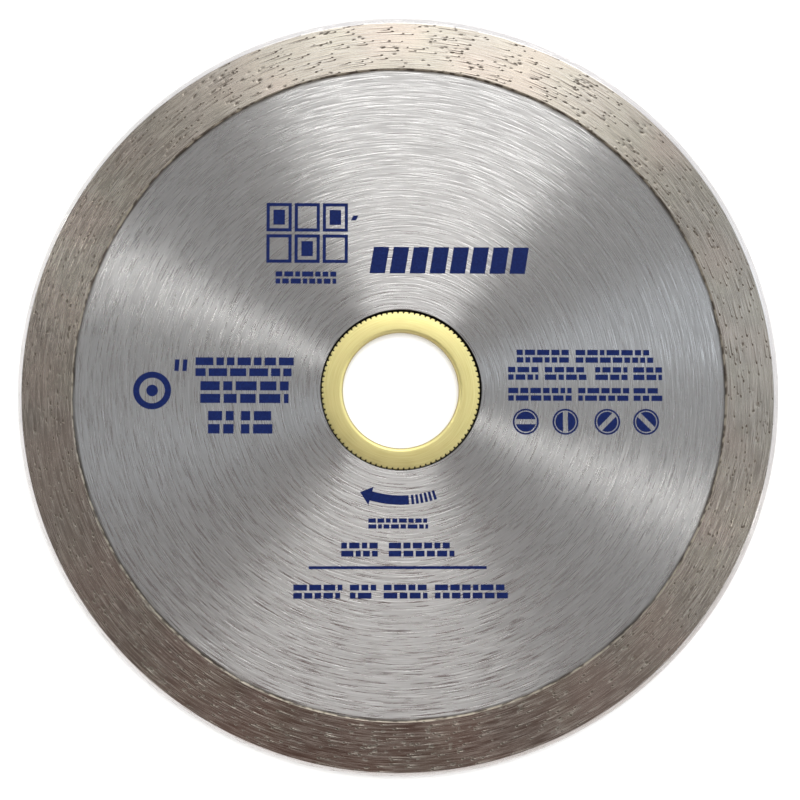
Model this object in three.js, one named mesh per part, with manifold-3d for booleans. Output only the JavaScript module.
// Continuous-rim diamond blade with its reducing bush.
// Millimetres. The blade lies flat: +Z is the spin axis and points out of the marked face,
// and the origin is the middle of the bore, halfway through the core.

import * as THREE from "three";
import { mergeVertices } from "three/addons/utils/BufferGeometryUtils.js";
import Module from "manifold-3d";

const wasm = await Module();
wasm.setup();

// Blade
const BLADE_RADIUS = 105 / 2;
const RIM_HEIGHT = 7.5;
const RIM_THICKNESS = 1.8;
const CORE_THICKNESS = 1.2;
const CORE_BORE_RADIUS = 22.23 / 2;

// Outer edge of the rim, eased by dressing, and the small break on its inner edge
const EDGE_EASE_RADIAL = 0.5;
const EDGE_EASE_AXIAL = 0.3;
const INNER_BREAK = 0.12;

// Keyed seat of the core's edge in the rim: tapered notches in the core, filled by lugs of the rim
const SEAT_DEPTH = 1.6;
const NOTCH_COUNT = 24;
const NOTCH_DEPTH = 1.0;
const SEAT_CLEARANCE = 0.04;

// Ring of the core that the grinder's flanges clamp
const FLANGE_RADIUS = 21;

// Reducing bush, which lies to one side of the bore within its clearance
const ARBOR_RADIUS = 16 / 2;
const BUSH_THICKNESS = 1.1;
const BUSH_CLEARANCE = 0.15;
const BUSH_SHIFT = 0.09;
const BUSH_SHIFT_ANGLE = (4 / 3) * Math.PI;
const BUSH_BORE_CHAMFER = 0.25;
const BUSH_EDGE_CHAMFER = 0.12;
const KNURL_TEETH = 88;
const KNURL_DEPTH = 0.3;

// Fineness of the round faces: a notch and the land beside it take six steps of the disc
const STEPS_PER_NOTCH = 6;
const DISC_SEGMENTS = NOTCH_COUNT * STEPS_PER_NOTCH;
const BORE_SEGMENTS = 96;

const RIM_INNER_RADIUS = BLADE_RADIUS - RIM_HEIGHT;
const CORE_RADIUS = RIM_INNER_RADIUS + SEAT_DEPTH;
const TURN = 2 * Math.PI;

// Joins and cuts

function toSolid(geometry) {
  const bare = geometry.clone();
  bare.deleteAttribute("normal");
  bare.deleteAttribute("uv");
  const merged = mergeVertices(bare, 1e-4);
  const mesh = new wasm.Mesh({
    numProp: 3,
    vertProperties: new Float32Array(merged.attributes.position.array),
    triVerts: new Uint32Array(merged.index.array),
  });
  return new wasm.Manifold(mesh);
}

function toGeometry(solid) {
  const mesh = solid.getMesh();
  const geometry = new THREE.BufferGeometry();
  geometry.setAttribute("position", new THREE.BufferAttribute(mesh.vertProperties, 3));
  geometry.setIndex(new THREE.BufferAttribute(mesh.triVerts, 1));
  geometry.computeVertexNormals();
  return geometry;
}

// Basic forms about the spin axis

// A plate of the given outline, centred on the plane z = 0.
function plate(shape, thickness) {
  const geometry = new THREE.ExtrudeGeometry(shape, { depth: thickness, bevelEnabled: false });
  return geometry.translate(0, 0, -thickness / 2);
}

// A turned form: profile points are [radius, z], and the profile runs anticlockwise.
function turned(profile, segments) {
  const points = profile.map(([radius, z]) => new THREE.Vector2(radius, z));
  return new THREE.LatheGeometry(points, segments).rotateX(Math.PI / 2);
}

function polar(radius, angle) {
  return new THREE.Vector2(radius * Math.cos(angle), radius * Math.sin(angle));
}

// Cuts the notches into the edge of a turned disc: three of every six edge points move inward.
function notchEdge(geometry, edgeRadius) {
  const position = geometry.attributes.position;
  for (let i = 0; i < position.count; i += 1) {
    const x = position.getX(i);
    const y = position.getY(i);
    const turnShare = Math.atan2(y, x) / TURN + 1;
    const step = Math.round(turnShare * DISC_SEGMENTS) % STEPS_PER_NOTCH;
    const onEdge = Math.hypot(x, y) > edgeRadius - NOTCH_DEPTH / 2;
    if (onEdge && step < STEPS_PER_NOTCH / 2) {
      const scale = (edgeRadius - NOTCH_DEPTH) / edgeRadius;
      position.setXY(i, x * scale, y * scale);
    }
  }
  return geometry;
}

function knurledOutline(tipRadius) {
  const points = [];
  for (let i = 0; i < KNURL_TEETH; i += 1) {
    points.push(polar(tipRadius, (i / KNURL_TEETH) * TURN));
    points.push(polar(tipRadius - KNURL_DEPTH, ((i + 0.5) / KNURL_TEETH) * TURN));
  }
  return new THREE.Shape(points);
}

// Pieces

function coreGeometry() {
  const half = CORE_THICKNESS / 2;
  const disc = turned(
    [
      [CORE_BORE_RADIUS, -half],
      [FLANGE_RADIUS, -half],
      [CORE_RADIUS, -half],
      [CORE_RADIUS, half],
      [FLANGE_RADIUS, half],
      [CORE_BORE_RADIUS, half],
      [CORE_BORE_RADIUS, -half],
    ],
    DISC_SEGMENTS,
  );
  return notchEdge(disc, CORE_RADIUS);
}

// The space that the core's edge takes inside the rim, a little larger than the edge itself.
function rimSeat() {
  const half = CORE_THICKNESS / 2 + SEAT_CLEARANCE;
  const edge = CORE_RADIUS + SEAT_CLEARANCE;
  const disc = turned([[0, -half], [edge, -half], [edge, half], [0, half]], DISC_SEGMENTS);
  return notchEdge(disc, edge);
}

function rimGeometry() {
  const top = RIM_THICKNESS / 2;
  const outer = BLADE_RADIUS;
  const inner = RIM_INNER_RADIUS;
  const blank = turned(
    [
      [inner, -top + INNER_BREAK],
      [inner + INNER_BREAK, -top],
      [outer - EDGE_EASE_RADIAL, -top],
      [outer, -top + EDGE_EASE_AXIAL],
      [outer, top - EDGE_EASE_AXIAL],
      [outer - EDGE_EASE_RADIAL, top],
      [inner + INNER_BREAK, top],
      [inner, top - INNER_BREAK],
      [inner, -top + INNER_BREAK],
    ],
    DISC_SEGMENTS,
  );
  return toGeometry(toSolid(blank).subtract(toSolid(rimSeat())));
}

function bushGeometry() {
  const half = BUSH_THICKNESS / 2;
  const past = half + 1;
  const tip = CORE_BORE_RADIUS - BUSH_CLEARANCE;
  const knurled = plate(knurledOutline(tip), BUSH_THICKNESS);
  const easedDisc = turned(
    [
      [0, -half],
      [tip - BUSH_EDGE_CHAMFER, -half],
      [tip + BUSH_CLEARANCE, -half + BUSH_CLEARANCE + BUSH_EDGE_CHAMFER],
      [tip + BUSH_CLEARANCE, half - BUSH_CLEARANCE - BUSH_EDGE_CHAMFER],
      [tip - BUSH_EDGE_CHAMFER, half],
      [0, half],
    ],
    KNURL_TEETH,
  );
  const bore = turned(
    [
      [0, -past],
      [ARBOR_RADIUS + BUSH_BORE_CHAMFER, -past],
      [ARBOR_RADIUS + BUSH_BORE_CHAMFER, -half],
      [ARBOR_RADIUS, -half + BUSH_BORE_CHAMFER],
      [ARBOR_RADIUS, half - BUSH_BORE_CHAMFER],
      [ARBOR_RADIUS + BUSH_BORE_CHAMFER, half],
      [ARBOR_RADIUS + BUSH_BORE_CHAMFER, past],
      [0, past],
    ],
    BORE_SEGMENTS,
  );
  return toGeometry(toSolid(knurled).intersect(toSolid(easedDisc)).subtract(toSolid(bore)));
}

// Materials

const coreSteel = new THREE.MeshStandardMaterial({ color: 0xb9b8b8, roughness: 0.35, metalness: 1 });
const rimMatrix = new THREE.MeshStandardMaterial({ color: 0x9a8f80, roughness: 0.55, metalness: 0.9 });
const bushBrass = new THREE.MeshStandardMaterial({ color: 0xd8c987, roughness: 0.3, metalness: 1 });

// Assembly

function piece(name, geometry, material) {
  const mesh = new THREE.Mesh(geometry, material);
  mesh.name = name;
  return mesh;
}

const blade = new THREE.Group();
blade.add(piece("steel_core", coreGeometry(), coreSteel));
blade.add(piece("diamond_rim", rimGeometry(), rimMatrix));
const bush = piece("reducing_bush", bushGeometry(), bushBrass);
bush.position.x = BUSH_SHIFT * Math.cos(BUSH_SHIFT_ANGLE);
bush.position.y = BUSH_SHIFT * Math.sin(BUSH_SHIFT_ANGLE);
blade.add(bush);

export default blade;
